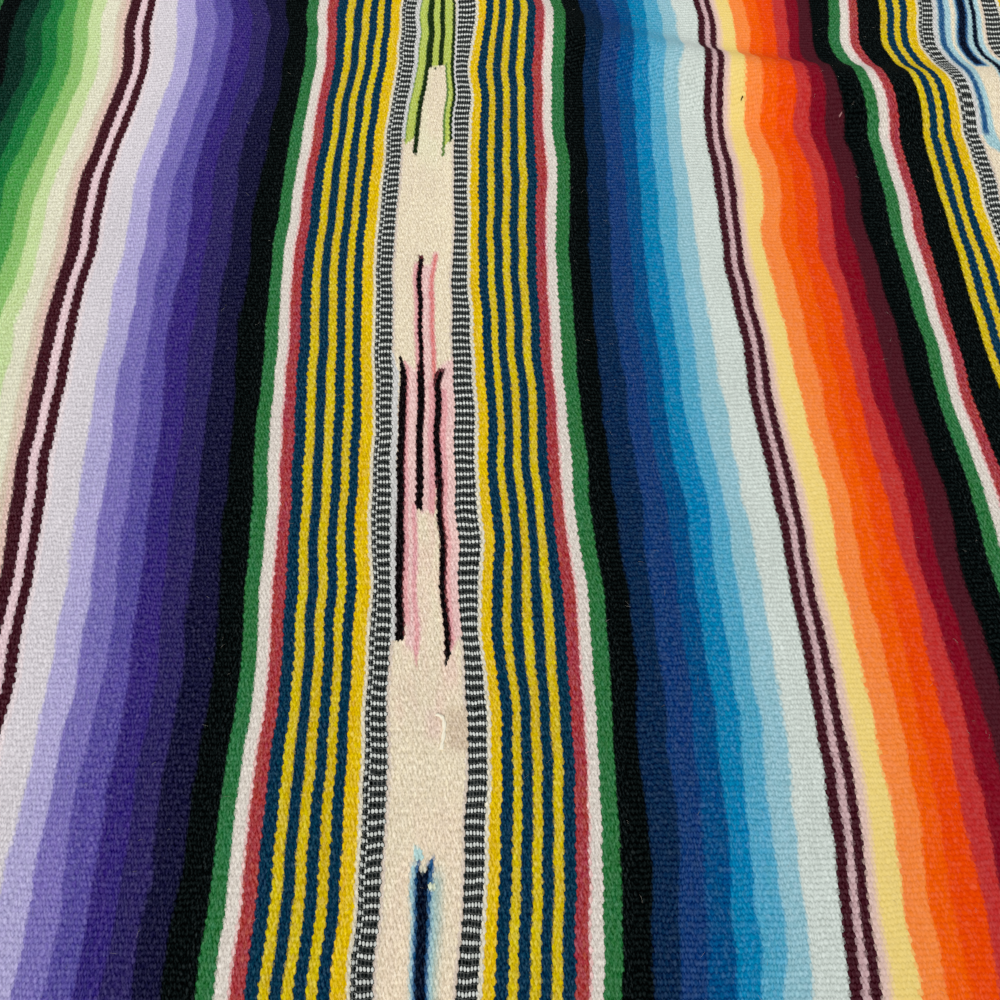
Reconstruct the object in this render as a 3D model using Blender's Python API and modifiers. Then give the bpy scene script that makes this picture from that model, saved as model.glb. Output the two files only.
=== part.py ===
"""A striped serape lying flat on a floor: one woven web with soft ridges, and a knotted fringe at each end.

X runs along the warp, from one fringe to the other. Y runs along the stripes, from selvedge to
selvedge. Z is up, and the floor is z = 0. The origin is under the middle of the cloth.
"""

from collections import namedtuple
from math import cos, hypot, pi, sin

import bmesh
import bpy
from mathutils import Vector

# The cloth as it was cut: a weft-faced web, with its warp ends left long for the fringe.
WARP_PITCH = 0.00254
WARPS_IN_A_LOCK = 5
LOCKS_IN_A_FRINGE = 100
LOCK_PITCH = WARP_PITCH * WARPS_IN_A_LOCK
WEB_WIDTH = LOCK_PITCH * LOCKS_IN_A_FRINGE
WEB_LENGTH = 2.04
WALL = 0.002
GRID_CELL = 0.0125
CELLS_ALONG_X = round(WEB_LENGTH / GRID_CELL)
CELLS_ALONG_Y = round(WEB_WIDTH / GRID_CELL)
# Share of the fine grid's triangles that the web keeps. The flat stretches need almost none of them.
KEPT_SHARE = 0.085
SEAM_GAP = 0.0003

# The heading is the row of knots that closes the web. It carries one fringe.
HEADING_WIDTH = 0.006
HEADING_HEIGHT = 0.003
LOCK_LENGTH = 0.088
LOCK_LENGTH_SPREAD = 0.007
# How far the locks lean along Y at their tips: together in long waves, and each on its own.
SHARED_LEAN = 0.011
OWN_LEAN = 0.0016

Station = namedtuple("Station", "along width height floor_gap")
# Sections of one lock, from the knot to the brushed tip; along is a share of its length.
LOCK_STATIONS = (
    Station(along=0.12, width=0.0056, height=0.0034, floor_gap=0.0008),
    Station(along=0.55, width=0.0046, height=0.0026, floor_gap=0.0012),
    Station(along=1.00, width=0.0062, height=0.0014, floor_gap=0.0006),
)
LOCK_ROOT_WIDTH = 0.0050

Wave = namedtuple("Wave", "size length phase")
# The selvedges and the two ends aren't quite straight: amplitude, wave length and phase of each wave.
SELVEDGE_WAVES = (
    Wave(size=0.0035, length=1.13, phase=0.4),
    Wave(size=0.0012, length=0.37, phase=1.9),
)
END_WAVES = (
    Wave(size=0.0032, length=0.86, phase=2.2),
    Wave(size=0.0010, length=0.29, phase=0.3),
)

Ridge = namedtuple("Ridge", "name start end bend height left right")
# Soft ridges that the cloth keeps where it was pushed up. start and end are on the floor plan, bend is
# how far the middle bows to the left of the way from start to end, and left and right are the
# half-widths of the two slopes.
RIDGES = (
    Ridge("across_the_blues", (-0.020, 0.420), (0.560, 0.310), -0.092, 0.021, 0.046, 0.050),
    Ridge("far_violet", (-0.760, 0.210), (-0.290, 0.640), 0.040, 0.012, 0.050, 0.060),
    Ridge("far_selvedge", (0.660, 0.420), (0.360, 0.760), 0.030, 0.016, 0.050, 0.042),
    Ridge("right_long", (0.610, -0.140), (0.960, 0.400), 0.055, 0.017, 0.045, 0.060),
    Ridge("right_low", (0.480, -0.500), (0.980, -0.210), -0.040, 0.013, 0.055, 0.045),
    Ridge("near_selvedge", (0.100, -0.780), (0.330, -0.330), 0.030, 0.016, 0.048, 0.042),
    Ridge("near_middle", (-0.460, -0.520), (0.110, -0.370), 0.045, 0.011, 0.048, 0.060),
    Ridge("left_near", (-0.960, -0.520), (-0.430, -0.200), -0.050, 0.018, 0.060, 0.042),
    Ridge("left_middle", (-0.980, 0.120), (-0.490, -0.040), 0.045, 0.012, 0.045, 0.055),
    Ridge("left_far", (-0.970, 0.270), (-0.700, 0.720), -0.035, 0.016, 0.050, 0.045),
)
# How softly a ridge starts and ends, and the lift below which the cloth lies flat on the floor.
RIDGE_FADE = 1.5
LEAST_LIFT = 0.0006

Finish = namedtuple("Finish", "colour roughness")
FINISHES = {
    "woven_web": Finish(colour=(0.12, 0.10, 0.22), roughness=0.95),
    "fringe": Finish(colour=(0.72, 0.66, 0.55), roughness=0.95),
}


def clear_scene():
    for obj in list(bpy.data.objects):
        bpy.data.objects.remove(obj, do_unlink=True)


def new_material(name):
    finish = FINISHES[name]
    material = bpy.data.materials.new(name)
    material.use_nodes = True
    shader = material.node_tree.nodes["Principled BSDF"]
    shader.inputs["Base Color"].default_value = (*finish.colour, 1.0)
    shader.inputs["Roughness"].default_value = finish.roughness
    shader.inputs["Metallic"].default_value = 0.0
    return material


def new_object(name, mesh_maker, collection, material):
    """An object whose mesh is the one that mesh_maker leaves in this bmesh."""
    mesh = bpy.data.meshes.new(name)
    mesh.materials.append(material)
    mesh.shade_smooth()
    obj = bpy.data.objects.new(name, mesh)
    collection.objects.link(obj)
    bm = bmesh.new()
    mesh_maker(bm)
    bm.to_mesh(mesh)
    bm.free()
    return obj


def wave_sum(waves, place):
    return sum(wave.size * sin(2 * pi * place / wave.length + wave.phase) for wave in waves)


def end_shift(y, side):
    """How far the web's end on this side (-1 or 1) stands from its straight line, along X."""
    return wave_sum(END_WAVES, y + 0.31 * side)


def selvedge_shift(x, side):
    """How far the selvedge on this side (-1 or 1) stands from its straight line, along Y."""
    return wave_sum(SELVEDGE_WAVES, x + 0.43 * side)


def floor_plan(x, y):
    """Where a point of the straight web lies on the floor, with both pairs of edges drawn in or out."""
    right = 0.5 + x / WEB_LENGTH
    far = 0.5 + y / WEB_WIDTH
    shift_x = (1 - right) * end_shift(y, -1) + right * end_shift(y, 1)
    shift_y = (1 - far) * selvedge_shift(x, -1) + far * selvedge_shift(x, 1)
    return x + shift_x, y + shift_y


def ridge_lift(ridge, x, y):
    """Height that one ridge gives the cloth at a point: a soft crest that fades out at both ends."""
    run_x = ridge.end[0] - ridge.start[0]
    run_y = ridge.end[1] - ridge.start[1]
    length = hypot(run_x, run_y)
    off_x = x - ridge.start[0]
    off_y = y - ridge.start[1]
    along = (off_x * run_x + off_y * run_y) / length**2
    if not 0 < along < 1:
        return 0.0
    leftward = (off_y * run_x - off_x * run_y) / length - ridge.bend * 4 * along * (1 - along)
    half_width = ridge.left if leftward > 0 else ridge.right
    if abs(leftward) >= half_width:
        return 0.0
    return ridge.height * sin(pi * along) ** RIDGE_FADE * cos(pi / 2 * leftward / half_width) ** 2


def lift(x, y):
    return max(0.0, sum(ridge_lift(ridge, x, y) for ridge in RIDGES) - LEAST_LIFT)


def on_rim(index):
    """Whether a point of the web's grid, counted row by row along X, is on its edge."""
    row, column = divmod(index, CELLS_ALONG_X + 1)
    return row in (0, CELLS_ALONG_Y) or column in (0, CELLS_ALONG_X)


def make_web(bm):
    """The underside of the web as one surface: flat on the floor, and off it under each ridge."""
    bmesh.ops.create_grid(
        bm,
        x_segments=CELLS_ALONG_X,
        y_segments=CELLS_ALONG_Y,
        size=0.5,
    )
    for vert in bm.verts:
        x, y = floor_plan(vert.co.x * WEB_LENGTH, vert.co.y * WEB_WIDTH)
        vert.co = Vector((x, y, lift(x, y)))


def thin_out(web):
    """Thins the fine grid out, most of all where it is flat, and puts its points back on the cloth."""
    inside = web.vertex_groups.new(name="inside")
    inside.add([vert.index for vert in web.data.vertices if not on_rim(vert.index)], 1.0, "REPLACE")
    thinning = web.modifiers.new("fewer_faces", "DECIMATE")
    thinning.ratio = KEPT_SHARE
    thinning.vertex_group = inside.name
    graph = bpy.context.evaluated_depsgraph_get()
    mesh = bpy.data.meshes.new_from_object(web.evaluated_get(graph))
    web.modifiers.remove(thinning)
    web.data = mesh
    for vert in mesh.vertices:
        vert.co.z = lift(vert.co.x, vert.co.y)


def add_web(collection):
    web = new_object("woven_web", make_web, collection, new_material("woven_web"))
    thin_out(web)
    wall = web.modifiers.new("wall", "SOLIDIFY")
    wall.thickness = WALL
    wall.offset = 1.0


def lock_centre(index):
    return (index + 0.5) * LOCK_PITCH - WEB_WIDTH / 2


def lock_length(index, side):
    return LOCK_LENGTH + LOCK_LENGTH_SPREAD * sin(2.39 * index + side) * sin(0.31 * index)


def lock_lean(index, side, along):
    """Sideways run of a lock at a share of its length: straight at the knot, swept towards the tip."""
    shared = SHARED_LEAN * (sin(0.083 * index + 1.7 * side) + 0.45 * sin(0.21 * index + 0.6 * side))
    own = OWN_LEAN * sin(4.3 * index + side)
    return (shared + own) * along**1.6


def heading_breaks():
    """Places along Y where the heading's faces meet: both edges of each lock's root, and its two ends."""
    breaks = [-WEB_WIDTH / 2]
    for index in range(LOCKS_IN_A_FRINGE):
        breaks.append(lock_centre(index) - LOCK_ROOT_WIDTH / 2)
        breaks.append(lock_centre(index) + LOCK_ROOT_WIDTH / 2)
    return breaks + [WEB_WIDTH / 2]


def make_heading(bm, side):
    """A bar along the web's end. Returns the faces of its outer side that the locks grow from."""
    inner = SEAM_GAP
    outer = SEAM_GAP + HEADING_WIDTH
    corners = ((inner, 0.0), (outer, 0.0), (outer, HEADING_HEIGHT), (inner, HEADING_HEIGHT))
    rings = []
    for place in heading_breaks():
        x, y = floor_plan(side * WEB_LENGTH / 2, place)
        rings.append([bm.verts.new((x + side * out, y, z)) for out, z in corners])
    roots = []
    for number, (ring, following) in enumerate(zip(rings, rings[1:])):
        for corner in range(4):
            after = (corner + 1) % 4
            face = bm.faces.new((ring[corner], ring[after], following[after], following[corner]))
            if corner == 1 and number % 2 == 1:
                roots.append(face)
    bm.faces.new(rings[0])
    bm.faces.new(rings[-1])
    return roots


def grow_lock(bm, root, index, side):
    """One lock of warp ends: the root face drawn outwards through the stations."""
    centre = root.calc_center_median()
    face = root
    for station in LOCK_STATIONS:
        face = bmesh.ops.extrude_discrete_faces(bm, faces=[face])["faces"][0]
        x = centre.x + side * lock_length(index, side) * station.along
        y = centre.y + lock_lean(index, side, station.along)
        middle = face.calc_center_median()
        for vert in face.verts:
            outward = 1 if vert.co.y > middle.y else -1
            upward = 1 if vert.co.z > middle.z else 0
            z = station.floor_gap + upward * station.height
            vert.co = Vector((x, y + outward * station.width / 2, z))


def add_fringe(name, side, collection, material):
    def make_fringe(bm):
        roots = make_heading(bm, side)
        for index, root in enumerate(roots):
            grow_lock(bm, root, index, side)
        bmesh.ops.recalc_face_normals(bm, faces=bm.faces)

    return new_object(name, make_fringe, collection, material)


def main():
    clear_scene()
    collection = bpy.data.collections.new("serape")
    bpy.context.scene.collection.children.link(collection)
    add_web(collection)
    fringe_material = new_material("fringe")
    add_fringe("fringe_left", -1, collection, fringe_material)
    add_fringe("fringe_right", 1, collection, fringe_material)


main()
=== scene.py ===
"""The looks of a striped serape that lies flat on the floor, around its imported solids.

X runs along the warp, from fringe to fringe, and Y along the weft, so along the stripes. A place on the cloth has
two names: where it lies in the room (x, y), and where it is in the flat weave, counted in millimetres from the middle
(across the stripes and along them). The weave's pattern is worked out from the second, in the material.
"""

from collections import namedtuple
from math import cos, floor, hypot, pi, radians, sin

import bpy
import numpy as np
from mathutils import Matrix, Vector


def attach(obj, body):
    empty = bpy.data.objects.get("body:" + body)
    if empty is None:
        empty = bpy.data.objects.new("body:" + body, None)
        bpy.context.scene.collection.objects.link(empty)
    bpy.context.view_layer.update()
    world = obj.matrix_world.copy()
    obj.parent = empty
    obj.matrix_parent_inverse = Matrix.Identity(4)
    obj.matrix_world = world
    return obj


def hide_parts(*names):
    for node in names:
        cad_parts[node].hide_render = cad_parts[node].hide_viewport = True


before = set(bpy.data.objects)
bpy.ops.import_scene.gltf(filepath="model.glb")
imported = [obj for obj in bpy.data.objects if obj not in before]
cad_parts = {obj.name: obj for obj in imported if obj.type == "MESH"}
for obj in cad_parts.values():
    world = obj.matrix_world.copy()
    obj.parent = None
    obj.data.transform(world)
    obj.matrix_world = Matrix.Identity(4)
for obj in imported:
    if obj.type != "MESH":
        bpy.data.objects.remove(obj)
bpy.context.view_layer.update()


def table(kind, *rows):
    return tuple(kind(*row) for row in rows)


# --- The cloth's own sizes, the same as the solids have ---

MM = 0.001
WARP_PITCH = 0.00254
WARPS_IN_A_LOCK = 5
LOCKS_IN_A_FRINGE = 100
LOCK_PITCH = WARP_PITCH * WARPS_IN_A_LOCK
WEB_WIDTH = LOCK_PITCH * LOCKS_IN_A_FRINGE
WEB_LENGTH = 2.04
WALL = 0.002

Wave = namedtuple("Wave", "size length phase")
SELVEDGE_WAVES = table(Wave, (0.0035, 1.13, 0.4), (0.0012, 0.37, 1.9))
END_WAVES = table(Wave, (0.0032, 0.86, 2.2), (0.0010, 0.29, 0.3))
# How far along the waves each edge has its middle, so that no two edges are alike.
END_STEP, SELVEDGE_STEP = 0.31, 0.43

Ridge = namedtuple("Ridge", "name start end bend height left right")
RIDGES = table(
    Ridge,
    ("across_the_blues", (-0.020, 0.420), (0.560, 0.318), -0.102, 0.021, 0.046, 0.040),
    ("far_violet", (-0.760, 0.210), (-0.290, 0.640), 0.040, 0.012, 0.050, 0.060),
    ("far_selvedge", (0.660, 0.420), (0.360, 0.760), 0.030, 0.016, 0.050, 0.042),
    ("right_long", (0.610, -0.140), (0.960, 0.400), 0.055, 0.017, 0.045, 0.060),
    ("right_low", (0.480, -0.500), (0.980, -0.210), -0.040, 0.013, 0.055, 0.045),
    ("near_selvedge", (0.100, -0.780), (0.330, -0.330), 0.030, 0.016, 0.048, 0.042),
    ("near_middle", (-0.460, -0.520), (0.110, -0.370), 0.045, 0.011, 0.048, 0.060),
    ("left_near", (-0.960, -0.520), (-0.430, -0.200), -0.050, 0.018, 0.060, 0.042),
    ("left_middle", (-0.980, 0.120), (-0.490, -0.040), 0.045, 0.012, 0.045, 0.055),
    ("left_far", (-0.970, 0.270), (-0.700, 0.720), -0.035, 0.016, 0.050, 0.045),
)
RIDGE_FADE = 1.5
LEAST_LIFT = 0.0006

# --- The stripes. Widths are in millimetres across the stripe, and colours are as daylight shows them, 0 to 255 ---

Stripe = namedtuple("Stripe", "width colour")


GREEN = (46, 107, 60)
WHITE = (210, 200, 190)
BLED_WHITE = (216, 176, 172)
RED = (158, 59, 63)
NAVY = (8, 48, 70)
YELLOW = (202, 175, 30)
GOLD = (214, 177, 16)
PALE = (213, 204, 182)
CREAM = (222, 207, 180)
BLED_CREAM = (226, 192, 178)
SHADED_CREAM = (204, 189, 174)
BLACK = (5, 11, 11)
MAROON = (62, 26, 34)
ROSE = (192, 160, 162)

DESIGN_BAND = table(
    Stripe,
    (8, GREEN), (5.7, WHITE), (1.3, BLED_WHITE), (6.3, RED), (6.5, NAVY), (4.9, YELLOW), (5.7, NAVY), (4.8, YELLOW),
    (5.6, NAVY), (4.6, YELLOW), (5.5, NAVY), (7, GOLD), (1.9, PALE), (10.7, BLACK), (1.6, SHADED_CREAM),
    (35.2, CREAM), (1.6, SHADED_CREAM), (10.8, BLACK), (2.2, PALE), (5.4, GOLD), (5.9, NAVY), (4, YELLOW),
    (5.6, NAVY), (4.5, YELLOW), (5.5, NAVY), (4.6, YELLOW), (6, NAVY), (6.1, RED), (1.3, BLED_WHITE), (5.2, WHITE),
    (8.6, GREEN),
)
# How many stripes lie before its middle, and where they are followed by the middle's own.
BEFORE_MIDDLE, AFTER_MIDDLE = 12, 20
# The next design band to the right has black where this one has its first navy, yellow and navy.
NEXT_BAND_START = DESIGN_BAND[:4] + (Stripe(17.1, BLACK),) + DESIGN_BAND[7:BEFORE_MIDDLE]

# Each half of an ombre runs from the black beside a design band to the pale middle.
BLUES = table(
    Stripe,
    (13.9, BLACK), (13, (14, 40, 71)), (13.5, (26, 58, 108)), (11, (8, 74, 124)), (11.5, (17, 119, 165)),
    (11.5, (80, 156, 186)), (11.5, (139, 182, 194)), (16.5, (196, 204, 197)), (5.5, MAROON), (3.5, ROSE),
    (4.8, MAROON),
)
WARMS = table(
    Stripe,
    (15.5, BLACK), (12, (71, 24, 33)), (11, (122, 16, 33)), (10, (184, 51, 48)), (12, (224, 68, 5)),
    (11, (231, 86, 9)), (12.5, (236, 128, 61)), (10.5, (229, 201, 120)), (2, (224, 193, 155)),
    (3.2, (212, 181, 170)),
)
VIOLETS = table(
    Stripe,
    (15.5, BLACK), (14.5, (24, 23, 53)), (14, (46, 39, 90)), (13.5, (55, 42, 113)), (12.5, (86, 76, 148)),
    (14, (117, 107, 172)), (13.5, (168, 160, 201)), (15.2, (206, 199, 204)), (2.8, (220, 206, 208)), (6.2, MAROON),
    (4.9, (222, 194, 198)), (8.2, MAROON),
)
GREENS = table(
    Stripe,
    (14, BLACK), (12, (12, 44, 34)), (11, (18, 74, 46)), (10.5, (30, 112, 58)), (11.5, (74, 148, 72)),
    (11, (136, 182, 104)), (10.5, (190, 208, 150)), (10.5, (216, 212, 188)), (4.1, (208, 190, 170)),
    (3.2, (212, 181, 170)),
)
ROSES = table(
    Stripe,
    (14.5, BLACK), (12, (60, 16, 44)), (12.5, (110, 20, 74)), (11, (166, 34, 100)), (12, (206, 74, 132)),
    (11.5, (222, 128, 164)), (11, (228, 176, 190)), (15, (216, 204, 196)), (4.8, MAROON), (5.3, ROSE),
)
TEALS = table(
    Stripe,
    (14, BLACK), (12.5, (10, 46, 52)), (12, (10, 78, 84)), (12.5, (20, 122, 124)), (11.5, (82, 164, 158)),
    (12, (144, 196, 184)), (15, (206, 212, 196)), (5.2, MAROON), (3.6, ROSE), (8, MAROON),
)


def widths(stripes):
    return sum(stripe.width for stripe in stripes)


BAND_WIDTH = widths(DESIGN_BAND)


# --- Where the cloth lies ---


def wave_sum(waves, place):
    return sum(wave.size * np.sin(2 * pi * place / wave.length + wave.phase) for wave in waves)


def floor_plan(x, y):
    """Where a point of the straight web lies on the floor, with both pairs of edges drawn in or out."""
    right = 0.5 + x / WEB_LENGTH
    far = 0.5 + y / WEB_WIDTH
    ends = [wave_sum(END_WAVES, y + END_STEP * side) for side in (-1, 1)]
    selvedges = [wave_sum(SELVEDGE_WAVES, x + SELVEDGE_STEP * side) for side in (-1, 1)]
    shift_x = (1 - right) * ends[0] + right * ends[1]
    shift_y = (1 - far) * selvedges[0] + far * selvedges[1]
    return x + shift_x, y + shift_y


def ridge_lift(ridge, x, y):
    run_x = ridge.end[0] - ridge.start[0]
    run_y = ridge.end[1] - ridge.start[1]
    length = hypot(run_x, run_y)
    off_x = x - ridge.start[0]
    off_y = y - ridge.start[1]
    along = np.clip((off_x * run_x + off_y * run_y) / length**2, 0.0, 1.0)
    leftward = (off_y * run_x - off_x * run_y) / length - ridge.bend * 4 * along * (1 - along)
    half_width = np.where(leftward > 0, ridge.left, ridge.right)
    slope = np.clip(np.abs(leftward) / half_width, 0.0, 1.0)
    return ridge.height * np.sin(pi * along) ** RIDGE_FADE * np.cos(pi / 2 * slope) ** 2


def soft_step(value, low, high):
    """0 below low and 1 above high, and smooth between them."""
    part = np.clip((value - low) / (high - low), 0.0, 1.0)
    return part * part * (3 - 2 * part)


# How far the stripes wander along X, in millimetres, at these places along the stripes. The columns are the
# places across them, in millimetres, where each value holds.
Wander = namedtuple(
    "Wander", "along pale_left violet band_left gold_left inlay ladder gold_right band_right maroon warm next_band"
)
WANDER_PLACES = (-212, -155, -96, -31, -16, 20, 34, 96, 199, 262, 312)
WANDERS = table(
    Wander,
    (-420, 2, 2, 2, 2, 2, 2, 2, 2, 2, 2, 2),
    (-273, -1.5, -1.5, -1.8, -0.6, -0.9, -2.1, -3.4, -4.8, -4.3, -3, -2),
    (-225, 0, 0.3, 0.3, 0.3, 0.7, 2.4, 0.8, -0.4, -0.9, 0, 1),
    (-177, 1, 1, 1.6, 1.4, 1.8, 3.5, 2.2, 1.3, 1, 2, 2),
    (-113, 3, 3, 3.4, 2.3, 2.5, 3.2, 0.9, 3, 2.6, 2, 1),
    (-49, 0, -0.5, 1, 1.2, 0.6, -1.6, -0.5, 0, 0.8, 0, -1),
    (15, -4, -3.8, -2.8, -1.5, -2.2, -5, -4.5, -4.7, -5.5, -6, -6),
    (79, -8, -8, -6.5, -6.5, -6.6, -6.8, -7.1, -7.1, -8.5, -7.9, -8.5),
    (143, -7, -7.5, -6.2, -6.8, -6.7, -6.4, -8.5, -7.8, -9.3, -11, -10),
    (207, -7.4, -10, -4.5, -6.5, -6.5, -6.6, -8.7, -3.5, -9.5, -6.5, -9.5),
    (239, -4, -6.5, -3.4, -6.2, -6.4, -7.2, -8.7, -6, -10, -13.4, -12.2),
    (271, -1.2, -3, -3.3, -3.9, -3.9, -5.8, -6.9, -6.9, -11.6, -16.5, -21.5),
    (303, -0.3, -0.2, -2.1, -1.3, -1.3, -7.6, -10.5, -6.9, -9.2, -15.3, -19),
    (320, -2, -0.5, -2.5, -1.5, -0.5, -8, -9, -5, -8, -14, -23.5),
    (335, -4.4, -0.4, -2.5, -1.3, 0.2, -8.3, -7.6, -3.6, -6.6, -12.8, -22.5),
    (351, -6, -1.6, -4.1, -0.8, -0.6, -8.6, -6.8, -2.4, -5.6, -12.4, -19.5),
    (367, -5.6, -5.4, -3.9, -0.3, -0.2, -8.2, -6.8, -4.1, -7.4, -11.6, -17.5),
    (460, -5, -6, -5, -2, -2.5, -4.5, -5, -5, -7, -11, -14),
    (560, 0, 0, 0, 0, 0, 0, 0, 0, 0, 0, 0),
)
# How much further they wander at these places than the rows around them give.
WANDER_CHANGES = table(
    Wander,
    (-140, 1, 1.2, 1.3, 0.9, 0, 0.6, 1.3, 0.2, 1.2, 1.2, 0),
    (-78, 0.4, 0.4, 1.2, 1.4, -0.4, 0, 1, -0.4, -0.4, 0, 0),
    (-34, 0, 0, 0, 0, 1.2, 0, 0, 0.3, 0, 0, 0),
    (-9, 0, 0, 0, 0, -0.8, 0, 0, 0, 0, 0, 0),
    (40, 0, 0, 0, 0, 0.6, 0, 0, 0, 0, 0, 0),
)
# The photo shows the cloth across to the first of these distances from here. Beyond the second, the stripes wander
# by a rule of their own.
SEEN_MIDDLE = 0.04
SEEN_REACHES = (0.36, 0.66)


def eased(places, values, at):
    """Values between the places, with no corners at them."""
    places = np.asarray(places, float)
    values = np.asarray(values, float)
    slopes = np.gradient(values, places)
    index = np.clip(np.searchsorted(places, at) - 1, 0, len(places) - 2)
    span = places[index + 1] - places[index]
    part = np.clip((at - places[index]) / span, 0.0, 1.0)
    rest = 1 - part
    ends = values[index] * rest**2 * (1 + 2 * part) + values[index + 1] * part**2 * (1 + 2 * rest)
    bends = slopes[index] * part * rest**2 - slopes[index + 1] * part**2 * rest
    return ends + bends * span


def wander_rows():
    """The rows of the wander in order, with those whose change is given worked out from the rows around them."""
    rows = np.array(WANDERS, float)
    changed = np.array(WANDER_CHANGES, float)
    for column in range(1, len(rows[0])):
        changed[:, column] += eased(rows[:, 0], rows[:, column], changed[:, 0])
    rows = np.concatenate([rows, changed])
    return rows[np.argsort(rows[:, 0])]


def stripe_wander(across, along):
    """How far a point of the weave lies to the right of its straight place, in metres."""
    rows = wander_rows()
    columns = [eased(rows[:, 0], rows[:, column + 1], along / MM) for column in range(len(WANDER_PLACES))]
    seen = columns[0]
    for column in range(1, len(WANDER_PLACES)):
        passed = soft_step(across, WANDER_PLACES[column - 1] * MM, WANDER_PLACES[column] * MM)
        seen = seen + (columns[column] - columns[column - 1]) * passed
    gentle = 0.003 * np.sin(8.1 * along + 6.0 * across + 0.7) + 0.0016 * np.sin(19.0 * along - 9.0 * across)
    unseen = soft_step(np.abs(across - SEEN_MIDDLE), *SEEN_REACHES)
    ends = np.cos(pi / 2 * np.clip(np.abs(2 * across / WEB_LENGTH), 0.0, 1.0) ** 6)
    return ends * (seen * MM * (1 - unseen) + gentle * unseen)


Swell = namedtuple("Swell", "centre radius_x radius_y turn height")
# Low humps where the cloth doesn't quite touch the floor, too low to be in its solids.
SWELLS = table(
    Swell,
    ((-0.16, 0.33), 0.05, 0.13, -0.3, 0.003), ((-0.075, 0.18), 0.03, 0.1, -0.2, 0.0018),
    ((-0.23, 0.04), 0.06, 0.15, 0.1, 0.0022), ((0.06, -0.06), 0.05, 0.11, 0.15, 0.0014),
    ((0.22, 0.06), 0.055, 0.15, 0.22, 0.0022), ((0.13, -0.23), 0.05, 0.12, -0.1, 0.0016),
    ((-0.09, -0.21), 0.045, 0.12, 0.2, 0.0014), ((-0.42, 0.25), 0.09, 0.16, 0.5, 0.003),
    ((-0.66, -0.39), 0.11, 0.15, -0.6, 0.003), ((-0.83, -0.12), 0.08, 0.17, 0.3, 0.0028),
    ((-0.31, -0.48), 0.13, 0.07, 0.2, 0.0026), ((0.45, 0.09), 0.08, 0.15, -0.2, 0.003),
    ((0.64, -0.42), 0.1, 0.12, 0.7, 0.0028), ((0.56, 0.56), 0.12, 0.07, -0.15, 0.0026),
    ((0.87, 0.48), 0.08, 0.12, 0.4, 0.003), ((0.89, -0.47), 0.07, 0.12, -0.5, 0.0026),
    ((-0.88, 0.56), 0.09, 0.07, 0.2, 0.0028), ((-0.56, 0.52), 0.1, 0.08, -0.4, 0.0024),
    ((0.12, 0.54), 0.13, 0.07, 0.1, 0.0024),
)


def swell_lift(x, y):
    total = 0.0
    for swell in SWELLS:
        off_x = x - swell.centre[0]
        off_y = y - swell.centre[1]
        turned_x = off_x * cos(swell.turn) + off_y * sin(swell.turn)
        turned_y = off_y * cos(swell.turn) - off_x * sin(swell.turn)
        reach = np.clip(1 - (turned_x / swell.radius_x) ** 2 - (turned_y / swell.radius_y) ** 2, 0.0, 1.0)
        total = total + swell.height * reach**2
    return total


def cloth_height(x, y):
    """Height of the cloth's underside above the floor."""
    ridges = sum(ridge_lift(ridge, x, y) for ridge in RIDGES)
    return np.maximum(0.0, ridges - LEAST_LIFT) + swell_lift(x, y)


def laid(across, along):
    """Where a point of the flat weave lies in the room."""
    return floor_plan(across + stripe_wander(across, along), along)


# --- Building nodes ---


def operator(operation, swapped=False):
    def apply(self, other):
        return self.paint.math(operation, *((other, self) if swapped else (self, other)))

    return apply


class Signal:
    """A number that varies over a surface. Arithmetic with it adds Math nodes to its material."""

    __add__, __radd__ = operator("ADD"), operator("ADD", swapped=True)
    __sub__, __rsub__ = operator("SUBTRACT"), operator("SUBTRACT", swapped=True)
    __mul__, __truediv__ = operator("MULTIPLY"), operator("DIVIDE")
    __mod__, __pow__ = operator("FLOORED_MODULO"), operator("POWER")
    __gt__, __lt__ = operator("GREATER_THAN"), operator("LESS_THAN")

    def __init__(self, paint, socket):
        self.paint = paint
        self.socket = socket


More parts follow.
